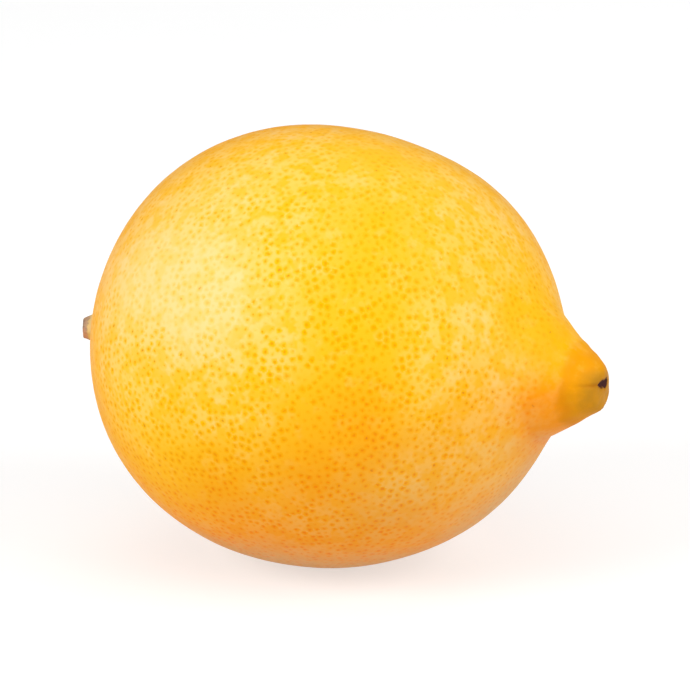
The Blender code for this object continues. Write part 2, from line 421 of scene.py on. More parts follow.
def nipple_rise(b, direction, place, given):
    """How far the nipple stands above the plain body, with its furrows, scar and crease."""
    angle, up, aside, roll = end_places(b, direction, NIPPLE_DIRECTION)
    share = b.math("POWER", b.ratio(angle, given["Nipple Half Angle"]), given["Nipple Steepness"])
    rise = b.ratio(given["Nipple Height"], b.total(share, 1.0))
    across = b.math("SQRT", b.total(b.times(up, up), b.times(aside, aside), 1e-9))
    upness = b.ratio(up, across)
    for side, centre, width, height in NIPPLE_FULLNESS:
        half = b.total(b.times(upness, 0.5 * side), 0.5)
        ring = b.bell(angle, math.radians(width), math.radians(centre))
        rise = b.total(rise, b.times(half, half, ring, height))
    # Soft furrows run down the nipple, and lumps lie between them.
    furrow = furrows(b, place, roll, 7.0, 5.0 * MM, 5.0)
    rise = b.total(rise, b.times(furrow, b.bell(angle, 5.0 * DEGREE, 8.5 * DEGREE), 0.05 * MM))
    lumps = b.stray(place, 3.2 * MM, 2.0)
    rise = b.total(rise, b.times(lumps, b.bell(angle, 15.0 * DEGREE), 0.40 * MM))
    # The scar is a lens-shaped pit, and a crease runs on from it towards -Y.
    reach = given["Half Length"]
    along, over = scar_axes(b, b.times(aside, reach, NIPPLE_REACH), b.times(up, reach, NIPPLE_REACH), MM)
    pit = b.times(b.bell(along, 1.3 * MM), b.bell(over, 0.42 * MM), 0.32 * MM)
    crease = b.times(b.bell(along, 1.8 * MM, 2.2 * MM), b.bell(over, 0.40 * MM), 0.12 * MM)
    end_side = b.math("GREATER_THAN", b.dot(direction, NIPPLE_DIRECTION), 0.0)
    return b.minus(rise, b.times(b.total(pit, crease), end_side))


def stem_end_rise(b, direction, place, given):
    """The puckered collar above, and the hollow below, the plain body at the stem end."""
    angle, up, aside, roll = end_places(b, direction, STEM_DIRECTION)
    collar = b.times(b.bell(angle, 4.5 * DEGREE, 13.0 * DEGREE), given["Collar Height"])
    hollow = b.times(b.bell(angle, 7.0 * DEGREE), given["Hollow Depth"])
    pucker = furrows(b, place, roll, 9.0, 6.0 * MM, 4.0)
    pucker = b.times(pucker, b.bell(angle, 4.5 * DEGREE, 10.5 * DEGREE), 0.11 * MM)
    return b.total(b.minus(collar, hollow), pucker)


FORM_INPUTS = (
    "half_length", "half_height", "half_width", "squareness", "taper", "nipple_height", "nipple_half_angle",
    "nipple_steepness", "hollow_depth", "collar_height", "unevenness",
)
GLAND_INPUTS = ("gland_spacing", "gland_radius", "pit_depth", "gland_seed")


def finished(b, geometry, surface):
    """The end of a geometry tree: a real mesh of one material."""
    real = b.add("GeometryNodeRealizeInstances", {0: geometry}).outputs[0]
    painted = b.add("GeometryNodeSetMaterial", {"Geometry": real, "Material": surface}).outputs[0]
    b.add("NodeGroupOutput", {0: painted})


def form_tree(inputs, surface):
    """Blows a ball of unit directions up into the fruit, about the body's centre."""
    tree, b, given = geometry_tree("Lemon form", inputs)
    direction = b.vector("NORMALIZE", b.add("GeometryNodeInputPosition").outputs[0])
    place = b.scaled(direction, given["Half Length"])
    radius = b.total(
        body_radius(b, direction, given),
        nipple_rise(b, direction, place, given),
        stem_end_rise(b, direction, place, given),
    )
    for centre, height in SWELLS:
        angle = b.angle(direction, Vector(centre).normalized())
        radius = b.total(radius, b.times(b.bell(angle, SWELL_WIDTH), height))
    slow = b.stray(place, 14.0 * MM, 1.0)
    quick = b.stray(place, 4.5 * MM, 2.0)
    waves = b.total(slow, b.times(quick, 0.6))
    radius = b.total(radius, b.times(waves, given["Unevenness"]))
    feeds = {"Geometry": given["Geometry"], "Position": b.scaled(direction, radius)}
    finished(b, b.add("GeometryNodeSetPosition", feeds).outputs[0], surface)
    return tree


def gland_tree(inputs, surface):
    """Scatters oil glands over the skin, sets a vertex on each, dimples it, and notes each face's gland."""
    tree, b, given = geometry_tree("Oil glands", inputs)
    skin = given["Geometry"]
    spacing = given["Gland Spacing"]
    dense = b.ratio(5.0, b.times(spacing, spacing))
    feeds = {"Mesh": skin, "Distance Min": spacing, "Density Max": dense, "Seed": given["Gland Seed"]}
    scatter = b.add("GeometryNodeDistributePointsOnFaces", feeds, distribute_method="POISSON").outputs["Points"]
    place = b.add("GeometryNodeInputPosition").outputs[0]

    def nearest(geometry):
        feeds = {"Geometry": geometry, "Sample Position": place}
        return b.add("GeometryNodeSampleNearest", feeds, domain="POINT").outputs[0]

    def store(geometry, name, value, kind, domain):
        feeds = {"Geometry": geometry, "Name": name, "Value": value}
        return b.add("GeometryNodeStoreNamedAttribute", feeds, data_type=kind, domain=domain).outputs[0]

    scatter = store(scatter, "vertex", nearest(skin), "INT", "POINT")
    own = nearest(scatter)

    def of_gland(kind, value):
        feeds = {"Geometry": scatter, "Value": value, "Index": own}
        return b.add("GeometryNodeSampleIndex", feeds, data_type=kind, domain="POINT").outputs[0]

    centre = of_gland("FLOAT_VECTOR", place)
    vertex = b.add("GeometryNodeInputNamedAttribute", {"Name": "vertex"}, data_type="INT").outputs[0]
    random = b.add("FunctionNodeRandomValue", {"Seed": given["Gland Seed"]}, data_type="FLOAT").outputs[1]
    tone = of_gland("FLOAT", random)
    feeds = {2: of_gland("INT", vertex), 3: b.add("GeometryNodeInputIndex").outputs[0]}
    is_centre = b.add("FunctionNodeCompare", feeds, data_type="INT", operation="EQUAL")
    feeds = {"Geometry": skin, "Selection": is_centre.outputs[0], "Position": centre}
    snapped = b.add("GeometryNodeSetPosition", feeds).outputs[0]
    # Each face is told its own gland, so that its spot can be drawn sharply.
    snapped = store(snapped, "gland_centre", centre, "FLOAT_VECTOR", "FACE")
    snapped = store(snapped, "gland_tone", tone, "FLOAT", "FACE")
    away = b.vector("DISTANCE", place, centre)
    depth = b.times(b.bell(away, given["Gland Radius"]), given["Pit Depth"], b.ramp(tone, 0.0, 1.0, 0.5, 1.4))
    inward = b.scaled(b.add("GeometryNodeInputNormal").outputs[0], b.times(depth, -1.0))
    dimpled = b.add("GeometryNodeSetPosition", {"Geometry": snapped, "Offset": inward}).outputs[0]
    smooth = b.add("GeometryNodeSetShadeSmooth", {"Geometry": dimpled}).outputs[0]
    finished(b, smooth, surface)
    return tree


# Rind material

WHITE = (1.0, 1.0, 1.0)

# How long the waves are that break up the rind's patches.
TONE_WAVES = 8.0 * MM
TINT_WANDER_WAVES = 16.0 * MM
CLEARNESS_WAVES = 3.5 * MM
WEB_WAVES = 2.4 * MM
BLOTCH_WAVES = 2.8 * MM
REFLECTION_BREAKUP_WAVES = 4.0 * MM
NIPPLE_WAVES = 2.5 * MM
MOTTLE_WAVES = 1.7 * MM
GRAIN_WAVES = 0.7 * MM

# How far each gland's outline strays from a circle, and the share of glands that are dry specks.
GLAND_STRAY = 0.60 * MM
SPECK_SHARE = 0.017

# Bump heights.
DIMPLE_DEPTH = 0.020 * MM
GRAIN_HEIGHT = 0.012 * MM
SCAR_DEPTH = 0.15 * MM
CREASE_DEPTH = 0.10 * MM


def shader_tree(name):
    """A material with an empty Principled surface. Gives the material, its builder and the shader node."""
    made = bpy.data.materials.new(name)
    made.use_nodes = True
    made.node_tree.nodes.clear()
    b = Builder(made.node_tree)
    surface = b.add("ShaderNodeBsdfPrincipled")
    b.add("ShaderNodeOutputMaterial", {"Surface": surface.outputs[0]})
    return made, b, surface


def add_bump(b, surface, height):
    bump = b.add("ShaderNodeBump", {"Strength": 1.0, "Distance": 1.0, "Height": height})
    b.feed(surface.inputs["Normal"], bump.outputs[0])


def rind_places(b, middle, tip):
    """Where a point of the rind lies, in millimetres, with the slow noises that several patches share."""
    at = SimpleNamespace(place=b.add("ShaderNodeTexCoord").outputs["Object"])
    at.x, y, at.z = b.parts(b.scaled(at.place, 1.0 / MM))
    at.direction = b.vector("NORMALIZE", b.vector("SUBTRACT", at.place, tuple(middle)))
    # Measured from the nipple's end: along its axis, sideways towards -Y, up, and out from the axis.
    turn = math.atan2(NIPPLE_DIRECTION.y, NIPPLE_DIRECTION.x)
    feeds = {"Vector": at.place, "Location": tip, "Rotation": (0.0, 0.0, turn)}
    local = b.add("ShaderNodeMapping", feeds, vector_type="TEXTURE").outputs[0]
    at.along, left, at.up = b.parts(b.scaled(local, 1.0 / MM))
    at.aside = b.times(left, -1.0)
    at.foot = b.math("SQRT", b.total(b.times(at.aside, at.aside), b.times(at.up, at.up)))
    at.wander = b.times(b.stray(at.place, TINT_WANDER_WAVES, 3.0), 16.0)
    at.wobble = b.times(b.stray(at.place, NIPPLE_WAVES, 3.0), 3.0)
    at.edge = b.total(at.along, b.times(at.wobble, 0.7))
    at.on_nipple = b.ramp(b.total(at.along, b.times(at.wobble, 1.6)), -8.5, -4.5)
    at.mottled = b.ramp(b.noise(at.place, MOTTLE_WAVES, 3.0, 0.6), 0.50, 0.68, 0.0, 0.55)
    return at


def patches(b, direction, sides):
    """The sum of soft round patches, each with its direction, width and strength."""
    made = []
    for centre, width, strength in sides:
        near = b.angle(direction, Vector(centre).normalized())
        made.append(b.times(b.bell(near, math.radians(width)), strength))
    return b.total(*made)


def rind_tones(b, at):
    """How pale, how deep and how orange the rind is, each from 0 to 1. Each is partly the rind's own tone and
    partly painted light: sheen in the pale, shade along the outline in the deep, shade low down and in the
    nipple's neck in the orange.
    """
    tone = b.times(b.stray(at.place, TONE_WAVES, 4.0, 0.65), 1.5)
    tone = b.total(tone, patches(b, at.direction, TONE_SHEEN_AND_SHADE_SIDES))
    # Orange low down, where it climbs towards the nipple, and round the nipple's foot: partly the rind's blush,
    # partly painted shade on the lower half and in the nipple's neck, deepest under it.
    orange_top = b.ramp(at.x, -20.0, 12.0, 27.0, 38.0)
    low = b.ramp(b.total(at.z, at.wander), orange_top, 4.0)
    round_foot = b.bell(at.foot, 3.8, 6.5)
    near_nipple = b.times(round_foot, b.ramp(at.along, -16.0, -6.0), b.ramp(at.up, 5.0, -3.0, 0.25, 1.0))
    blush_and_shade = b.total(low, b.times(near_nipple, 0.9), patches(b, at.direction, RUDDY_SIDES))
    blush_and_shade = b.math("MINIMUM", blush_and_shade, 1.0)
    paleness = b.times(
        b.ramp(tone, -0.10, 1.20), b.ramp(blush_and_shade, 0.3, 1.0, 1.0, 0.45), b.ramp(at.on_nipple, 0.0, 1.0, 1.0, 0.5)
    )
    return SimpleNamespace(pale=paleness, deep=b.ramp(tone, 0.10, -0.90), blush_and_shade=blush_and_shade)


def rind_glands(b, at, fruit, paleness):
    """Masks of the oil glands: a soft halo round a small spot, clearer on some sides than on others."""
    centre = b.add("ShaderNodeAttribute", attribute_name="gland_centre", attribute_type="GEOMETRY")
    tone = b.add("ShaderNodeAttribute", attribute_name="gland_tone", attribute_type="GEOMETRY").outputs["Fac"]
    warp = b.add("ShaderNodeTexNoise", {"Vector": at.place, "Scale": 1.0 / GLAND_STRAY, "Detail": 2.0}).outputs[1]
    warp = b.scaled(b.vector("SUBTRACT", warp, (0.5, 0.5, 0.5)), GLAND_STRAY)
    away = b.vector("DISTANCE", b.vector("ADD", at.place, warp), centre.outputs["Vector"])
    size = b.ramp(tone, 0.0, 1.0, 0.60 * fruit.gland_radius, 1.14 * fruit.gland_radius)
    ratio = b.ratio(away, size)
    show = b.times(
        b.ramp(b.noise(at.place, CLEARNESS_WAVES, 3.0, 0.6), 0.32, 0.66, 0.55, 1.10),
        b.ramp(b.dot(at.direction, CLEAR_SIDE), 0.30, 0.85, 0.58, 1.0),
        # Glands fade where the rind is pale, and that includes the painted sheen.
        b.ramp(paleness, 0.3, 1.0, 1.0, 0.65),
        b.ramp(tone, 0.0, 0.5, 0.25, 1.05),
        b.ramp(at.on_nipple, 0.0, 1.0, 1.0, 0.4),
    )
    is_speck = b.math("GREATER_THAN", tone, 1.0 - SPECK_SHARE)
    return SimpleNamespace(
        halo=b.times(b.ramp(ratio, 2.5, 0.9), show),
        spot=b.ramp(ratio, 1.05, 0.30),
        show=show,
        dimple=b.bell(away, size),
        speck=b.times(is_speck, b.ramp(ratio, 0.65, 0.20), 0.40),
    )


def skin_colour(b, at, look, tone, gland):
    """The pale web with its deeper blotches, the amber glands, and the nipple's even yellow."""
    blotch = b.ramp(b.noise(at.place, BLOTCH_WAVES, 3.0, 0.55), 0.53, 0.68, 0.0, 0.34)
    paleness = b.total(tone.pale, b.times(blotch, b.ramp(tone.blush_and_shade, 0.2, 0.8, 1.0, 0.15)))
    paleness = b.math("MINIMUM", paleness, 1.0)
    merged = b.ramp(b.noise(at.place, WEB_WAVES, 2.0, 0.6), 0.43, 0.61)
    merged = b.times(merged, b.ramp(paleness, 0.4, 1.0, 1.0, 0.65), 0.78)
    # The pale web also carries the painted sheen.
    web = b.mix(paleness, look.yellow, look.pale)
    deep = b.mix(paleness, look.deep, look.yellow)
    colour = b.mix(b.most(merged, b.times(tone.deep, 0.88)), web, deep)
    ring = b.mix(b.most(b.times(tone.deep, 0.9), b.times(tone.blush_and_shade, 0.6)), deep, look.ring)
    colour = b.mix(gland.halo, colour, ring)
    amber = b.mix(tone.blush_and_shade, look.gland, look.deep_gland)
    colour = b.mix(b.times(gland.spot, gland.show, b.ramp(paleness, 0.3, 1.0, 1.0, 0.45)), colour, amber)
    plain = b.ramp(b.noise(at.place, EVEN_WAVES, 3.0, 0.65), 0.38, 0.62, 0.45, 1.0)
    nipple = b.mix(at.mottled, look.nipple, look.yellow)
    return b.mix(b.times(at.on_nipple, plain), colour, nipple)


def tinted_colour(b, at, look, tone, gland, colour):
    """The skin's colour with its orange blush and painted shade low down, painted shade on the upper part away
    from the camera, a tan painted floor reflection and shade underneath and on some sides, and its dry specks.
    """
    # Painted shade: darker orange on the upper part, away from the camera side.
    facing = b.total(b.dot(at.direction, CAMERA_SIDE), b.times(at.wander, 0.008))
    shaded = b.times(b.ramp(facing, 0.62, 0.0), b.ramp(at.z, 10.0, 26.0))
    # Orange blush, with painted shade low down and in the nipple's neck.
    colour = b.mix(1.0, colour, b.mix(tone.blush_and_shade, WHITE, look.orange), "MULTIPLY")
    colour = b.mix(1.0, colour, b.mix(shaded, WHITE, look.shade_tint), "MULTIPLY")
    # Tan underneath, below the nipple and on the sides listed: painted reflection of the pale floor, with painted
    # shade.
    tan = b.ramp(b.total(at.z, b.times(at.wander, 0.3)), 11.0, 2.0, 0.0, 0.68)
    below_nipple = b.times(b.ramp(at.up, -4.6, -7.4), b.ramp(at.along, -16.0, -9.0), 0.22)
    tan = b.most(tan, below_nipple)
    reflection_breakup = b.ramp(b.noise(at.place, REFLECTION_BREAKUP_WAVES, 3.0, 0.6), 0.30, 0.65, 0.55, 0.85)
    for centre, width, strength in FLOOR_REFLECTION_SIDES:
        near = b.total(b.angle(at.direction, Vector(centre).normalized()), b.times(at.wander, 0.025))
        tan = b.most(tan, b.times(b.bell(near, math.radians(width)), reflection_breakup, strength))
    tan = b.times(tan, b.minus(1.0, b.times(gland.halo, 0.40)))
    colour = b.mix(tan, colour, look.tan)
    # Glands under the painted floor reflection turn brown.
    colour = b.mix(b.times(tan, gland.spot, gland.show, 0.75), colour, look.tan_gland)
    return b.mix(gland.speck, colour, look.speck)


def nipple_end_colour(b, at, look, colour):
    """Adds the nipple's deeper cap, ochre below the crease and round the scar, with a darker margin."""
    cap = b.times(b.ramp(at.edge, -4.6, -2.6), b.ramp(at.up, 5.8, 4.0, 0.4, 0.95))
    colour = b.mix(b.times(cap, b.minus(1.0, b.times(at.mottled, 0.5))), colour, look.cap)
    ochre_end = b.times(
        b.ramp(b.total(at.foot, b.times(at.wobble, 0.5)), 5.4, 2.8, 0.0, 0.95),
        b.ramp(at.edge, -5.0, -3.0),
        b.ramp(at.up, 3.4, 1.4),
    )
    below_crease = b.ramp(b.total(at.up, b.times(at.wobble, 0.4)), 1.3, -0.3)
    ochre_under = b.times(b.ramp(at.edge, -4.2, -3.0), below_crease, 0.30)
    faded = b.ramp(b.noise(at.place, OCHRE_WAVES, 3.0, 0.6), 0.38, 0.66, 1.0, 0.80)
    colour = b.mix(b.times(b.most(ochre_end, ochre_under), faded), colour, look.tip)
    margin = b.times(b.bell(b.total(at.edge, 3.7), 0.7), b.ramp(at.up, 2.5, 0.0, 0.3, 0.7))
    return b.mix(margin, colour, look.margin)


def scar_masks(b, at):
    """The dark scar, its rim, and the crease that runs on from it."""
    along, over = scar_axes(b, at.aside, at.up, 1.0)
    at_end = b.math("GREATER_THAN", at.along, -6.0)
    ragged = b.times(b.stray(at.place, GRAIN_WAVES, 3.0, 0.65), 1.7)
    long = b.ratio(along, 1.55)
    thick = b.ratio(over, b.ramp(along, -1.3, 1.3, 0.72, 0.46))
    lens = b.total(b.math("ABSOLUTE", thick), b.times(long, long, long, long), ragged)
    scar = b.times(b.ramp(lens, 1.25, 0.75), at_end)
    rim = b.times(b.ramp(lens, 2.6, 1.1), at_end, 0.35)
    crease_line = b.bell(b.total(over, b.times(ragged, 0.2)), 0.27)
    crease = b.times(crease_line, b.bell(along, 1.4, 2.2), at_end, 0.80)
    return scar, rim, crease


def rind_material(look, fruit, middle, tip):
    """Waxy rind: pale web with painted sheen, amber oil glands, orange blush with painted shade, painted outline
    shade, painted floor reflection underneath, ochre nipple end with its dark scar.
    """
    made, b, surface = shader_tree("lemon_rind")
    at = rind_places(b, middle, tip)
    tone = rind_tones(b, at)
    gland = rind_glands(b, at, fruit, tone.pale)
    scar, rim, crease = scar_masks(b, at)

    colour = skin_colour(b, at, look, tone, gland)
    colour = tinted_colour(b, at, look, tone, gland, colour)
    colour = nipple_end_colour(b, at, look, colour)
    colour = b.mix(b.most(crease, rim), colour, look.crease)
    colour = b.mix(scar, colour, look.scar)

    rough = b.ramp(b.noise(at.place, ROUGHNESS_WAVES, 3.0), 0.3, 0.7, look.roughness - 0.05, look.roughness + 0.05)
    rough = b.total(rough, b.times(gland.spot, 0.05), b.times(scar, 0.3))

    grain = b.times(b.noise(at.place, GRAIN_WAVES, 3.0, 0.6), GRAIN_HEIGHT)
    dents = b.total(b.times(scar, -SCAR_DEPTH), b.times(crease, -CREASE_DEPTH))
    height = b.total(b.times(gland.dimple, -DIMPLE_DEPTH), grain, dents)
    b.feed(surface.inputs["Base Color"], colour)
    b.feed(surface.inputs["Roughness"], rough)
    add_bump(b, surface, height)
    surface.inputs["IOR"].default_value = 1.45
    surface.inputs["Specular IOR Level"].default_value = 0.06
    return made


# Skin net


def placed(name, data):
    """A new object in the scene."""
    made = bpy.data.objects.new(name, data)
    bpy.context.scene.collection.objects.link(made)
    return made


def net_directions():
    """A cube's surface as a grid of shared points, blown up into a ball that is finer round the nipple.

    Gives the unit directions, the quads, and a texture place for each corner of each quad.
    """
    n = NET_STEPS
    first, second = np.meshgrid(np.arange(n + 1), np.arange(n + 1), indexing="ij")
    i, j = first[:n, :n], second[:n, :n]
    axes = ((0, 1, 2), (1, 2, 0), (2, 0, 1))
    room = 1.0 - 2.0 * CHART_MARGIN
    lattice, quads, charts = [], [], []
    for side in range(6):
        fixed, a, b = axes[side // 2]
        far = side % 2
        grid = np.zeros((n + 1, n + 1, 3), int)
        grid[..., fixed], grid[..., a], grid[..., b] = far * n, first, second
        index = side * (n + 1) ** 2 + np.arange((n + 1) ** 2).reshape(n + 1, n + 1)
        spots = [(i, j), (i + 1, j), (i + 1, j + 1), (i, j + 1)]
        if not far:
            spots.reverse()
        lattice.append(grid.reshape(-1, 3))
        quads.append(np.stack([index[spot] for spot in spots], -1).reshape(-1, 4))
        across, upward = (np.stack([spot[k] / n for spot in spots], -1).reshape(-1, 4) for k in (0, 1))
        chart_u = (side % 3 + CHART_MARGIN + room * across) / 3.0
        chart_v = (side // 3 + CHART_MARGIN + room * upward) / 2.0
        charts.append(np.stack([chart_u, chart_v], -1))
    lattice, shared = np.unique(np.concatenate(lattice), axis=0, return_inverse=True)
    ball = np.tan((lattice * 2.0 / n - 1.0) * math.pi / 4.0)
    ball /= np.linalg.norm(ball, axis=1, keepdims=True)
    return pulled(ball), shared.ravel()[np.concatenate(quads)], np.concatenate(charts)


def pulled(ball):
    """Draw the directions towards the nipple, where the surface stretches most."""
    nose = np.array(NIPPLE_DIRECTION)
    cosine = np.clip(ball @ nose, -1.0, 1.0)
    angle = np.arccos(cosine)
    closer = angle * (1.0 - NET_PULL * np.exp(-((angle / NET_PULL_ANGLE) ** 2)))
    across = ball - cosine[:, None] * nose
    across /= np.maximum(np.linalg.norm(across, axis=1, keepdims=True), 1e-9)
    return nose * np.cos(closer)[:, None] + across * np.sin(closer)[:, None]


def net_object(name):
    """The net as an object, with its charts in its texture map."""
    directions, quads, charts = net_directions()
    mesh = bpy.data.meshes.new(name)
    mesh.from_pydata(directions.tolist(), [], quads.tolist())
    mesh.uv_layers.new(name="OFBake").data.foreach_set("uv", charts.astype(np.float32).ravel())
    return placed(name, mesh)


def body_centre():
    """The middle of the fruit's body, without its nipple, in the frame."""
    low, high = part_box("fruit")
    return Vector((high.x - CENTRE_TO_TIP, 0.5 * (low.y + high.y) + CENTRE_ASIDE, high.z - CENTRE_TO_TOP))


def set_down(piece, offset=(0.0, 0.0, 0.0)):
    """Move the skin, and press it flat on the surface that it rests on: no lump reaches below."""
    corners = piece.data.vertices
    places = np.zeros(len(corners) * 3, np.float32)
    corners.foreach_get("co", places)
    places = places.reshape(-1, 3) + np.array(offset, np.float32)
    places[:, 2] = np.maximum(places[:, 2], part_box("fruit")[0].z)
    corners.foreach_set("co", places.ravel())
    piece.data.update()


def values_of(group, names):
    """The values of a property group, by the names of the tree inputs that take them."""
    return {name.replace("_", " ").title(): getattr(group, name) for name in names}


def ride_and_replace(piece, node):
    """The finished piece moves with the frame and stands for its CAD node."""
    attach(piece, "root")
    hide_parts(node)


class LEMON_OT_fruit(bpy.types.Operator):
    """Make the fruit: its form, its oil glands and its rind"""

    bl_idname = "lemon.fruit"
    bl_label = "Fruit"

    def execute(self, context):
        fruit = context.scene.lemon.fruit
        reach = fruit.half_length * (1.0 - fruit.taper) + fruit.nipple_height
        tip = body_centre() + NIPPLE_DIRECTION * reach
        rind = rind_material(context.scene.lemon.rind, fruit, body_centre(), tip)
        form = values_of(fruit, FORM_INPUTS)
        piece = net_object("lemon_fruit")
        run_geometry(piece, form_tree(form, rind), form)
        set_down(piece, body_centre())
        glands = values_of(fruit, GLAND_INPUTS)
        run_geometry(piece, gland_tree(glands, rind), glands)
        if "gland_centre" not in piece.data.attributes:
            raise RuntimeError("no oil gland found a place: make the gland spacing smaller")
        set_down(piece)
        ride_and_replace(piece, "fruit")
        return {"FINISHED"}


# Calyx and stem

# The stem's cut is not square: its slope across and up, and how far its middle stands past the CAD stem.
CUT_REACH = 0.70 * MM
CUT_SLANT_ASIDE = 0.34
CUT_SLANT_UP = 0.03

# The cut's rounded edge, the hollow in its face, and how deep the stem starts inside the fruit.
CUT_BEVEL = 0.15 * MM
CUT_HOLLOW = 0.10 * MM
STEM_BURIED = 1.0 * MM
STEM_SEGMENTS = 72

# The calyx: how far it is pressed into the skin, and its ridges.
CALYX_SUNK = 0.25 * MM
CALYX_RIDGE = 0.12 * MM
CALYX_SEGMENTS = 120

# Bumps of the dry fibres.
FIBRE_WIDTH = 0.35 * MM
FIBRE_HEIGHT = 0.08 * MM

# How dark the pith of the cut is against the bark; the painted shade round the cut's edge uses the same darkness.
DARK_PITH_AND_SHADE = 0.3


def ring_mesh(name, rings, first_pole, last_pole, surface):
    """One closed smooth skin over rows of points, with a fan at each pole."""
    shape = bmesh.new()
    made_rings = [[shape.verts.new(point) for point in ring] for ring in rings]
    start = shape.verts.new(first_pole)
    end = shape.verts.new(last_pole)
    for near, far in zip(made_rings, made_rings[1:]):
        for k, corner in enumerate(near):
            shape.faces.new((corner, near[k - 1], far[k - 1], far[k]))
    for k, corner in enumerate(made_rings[0]):
        shape.faces.new((start, made_rings[0][k - 1], corner))
    for k, corner in enumerate(made_rings[-1]):
        shape.faces.new((corner, made_rings[-1][k - 1], end))
    bmesh.ops.recalc_face_normals(shape, faces=shape.faces)
    mesh = bpy.data.meshes.new(name)
    shape.to_mesh(mesh)
    shape.free()
    mesh.shade_smooth()
    mesh.set_sharp_from_angle(angle=55.0 * DEGREE)
    mesh.materials.append(surface)
    return placed(name, mesh)


def turns(count):
    """Angles evenly round a circle."""
    return [2.0 * math.pi * k / count for k in range(count)]


def stem_line():
    """The foot and the cut end of the stem's centre line, from the CAD stem's box."""
    low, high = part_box("stem")
    middle = 0.5 * (low + high)
    half = 0.5 * (high.x - low.x)
    slope = STEM_DIRECTION.z / STEM_DIRECTION.x
    foot = Vector((high.x, middle.y, middle.z + slope * half))
    end = Vector((low.x, middle.y, middle.z - slope * half))
    return foot, end


def dry_group():
    """Dry plant matter, as a node group: patchy between two colours, with fine fibres along X."""
    inputs = {"Place": "Vector", "First Colour": "Color", "Second Colour": "Color", "Stretch": "Float"}
    outputs = {"Colour": "Color", "Height": "Float"}
    tree, b, given = new_tree("Dry fibres", "ShaderNodeTree", inputs, outputs)
    stretch = b.add("ShaderNodeCombineXYZ", {0: given["Stretch"], 1: 1.0, 2: 1.0}).outputs[0]
    fibres = b.vector("MULTIPLY", given["Place"], stretch)
    fine = b.noise(fibres, FIBRE_WIDTH, 4.0, 0.6)
    coarse = b.noise(given["Place"], 1.6 * MM, 3.0)
    colour = b.mix(b.ramp(coarse, 0.35, 0.65), given["First Colour"], given["Second Colour"])
    dark = b.mix(0.65, given["Second Colour"], (0.0, 0.0, 0.0))
    colour = b.mix(b.ramp(fine, 0.55, 0.35, 0.0, 0.6), colour, dark)
    b.add("NodeGroupOutput", {"Colour": colour, "Height": b.times(fine, FIBRE_HEIGHT)})
    return tree


def dry_material(name, first, second, roughness, stretch):
    """A material of dry plant matter. Gives it with its builder, shader, colour and place."""
    made, b, surface = shader_tree(name)
    place = b.add("ShaderNodeTexCoord").outputs["Object"]
    tree = bpy.data.node_groups.get("Dry fibres") or dry_group()
    feeds = {"Place": place, "First Colour": first, "Second Colour": second, "Stretch": stretch}
    dry = b.tree.nodes.new("ShaderNodeGroup")
    dry.node_tree = tree
    for label, value in feeds.items():
        b.feed(dry.inputs[label], value)
    surface.inputs["Roughness"].default_value = roughness
    add_bump(b, surface, dry.outputs["Height"])
    return made, b, surface, dry.outputs["Colour"], place


def calyx_material(look):
    made, b, surface, colour, place = dry_material("dry_calyx", look.olive, look.straw, 0.7, 1.0)
    b.feed(surface.inputs["Base Color"], colour)
    return made


class LEMON_OT_calyx(bpy.types.Operator):
    """Make the calyx: a thin lobed button pressed into the hollow of the fruit"""

    bl_idname = "lemon.calyx"
    bl_label = "Calyx"

    def execute(self, context):
        look = context.scene.lemon.stem
        fruit = bpy.data.objects.get("lemon_fruit")
        if fruit is None:
            raise RuntimeError("the calyx needs the fruit to sit on: make the fruit first")
        skin = BVHTree.FromObject(fruit, bpy.context.evaluated_depsgraph_get())
        foot, end = stem_line()
        upward, sideways = side_axes(STEM_DIRECTION)

        def point(share, roll, lift):
            lobe = 0.5 + 0.5 * math.cos(look.lobes * roll)
            reach = look.calyx_radius * (0.82 + 0.38 * lobe**1.4 + 0.03 * math.sin(3.0 * roll + 1.0))
            spot = foot + (upward * math.cos(roll) + sideways * math.sin(roll)) * (share * reach)
            place = skin.ray_cast(spot + STEM_DIRECTION * 0.01, -STEM_DIRECTION)[0]
            if place is None:
                raise RuntimeError("the calyx hangs past the fruit's end: make its radius smaller")
            ridge = CALYX_RIDGE * math.cos(look.lobes * roll) * share
            return place + STEM_DIRECTION * (lift + (ridge if lift > 0.0 else 0.0))

        rolls = turns(CALYX_SEGMENTS)
        profile = [(share / 8.0, -CALYX_SUNK) for share in range(1, 9)]
        for step in range(17):
            share = 1.0 - step / 18.0
            curl = 1.0 - (1.0 - step / 3.0) ** 2 if step < 3 else 1.0
            crown = look.calyx_thickness * (0.50 + 0.50 * (1.0 - share) ** 0.8)
            profile.append((share, crown * curl + 0.02 * MM))
        rings = [[point(share, roll, lift) for roll in rolls] for share, lift in profile]
        under = point(0.0, 0.0, -CALYX_SUNK)
        crown = point(0.0, 0.0, look.calyx_thickness)
        piece = ring_mesh("lemon_calyx", rings, under, crown, calyx_material(look))
        ride_and_replace(piece, "calyx")
        return {"FINISHED"}


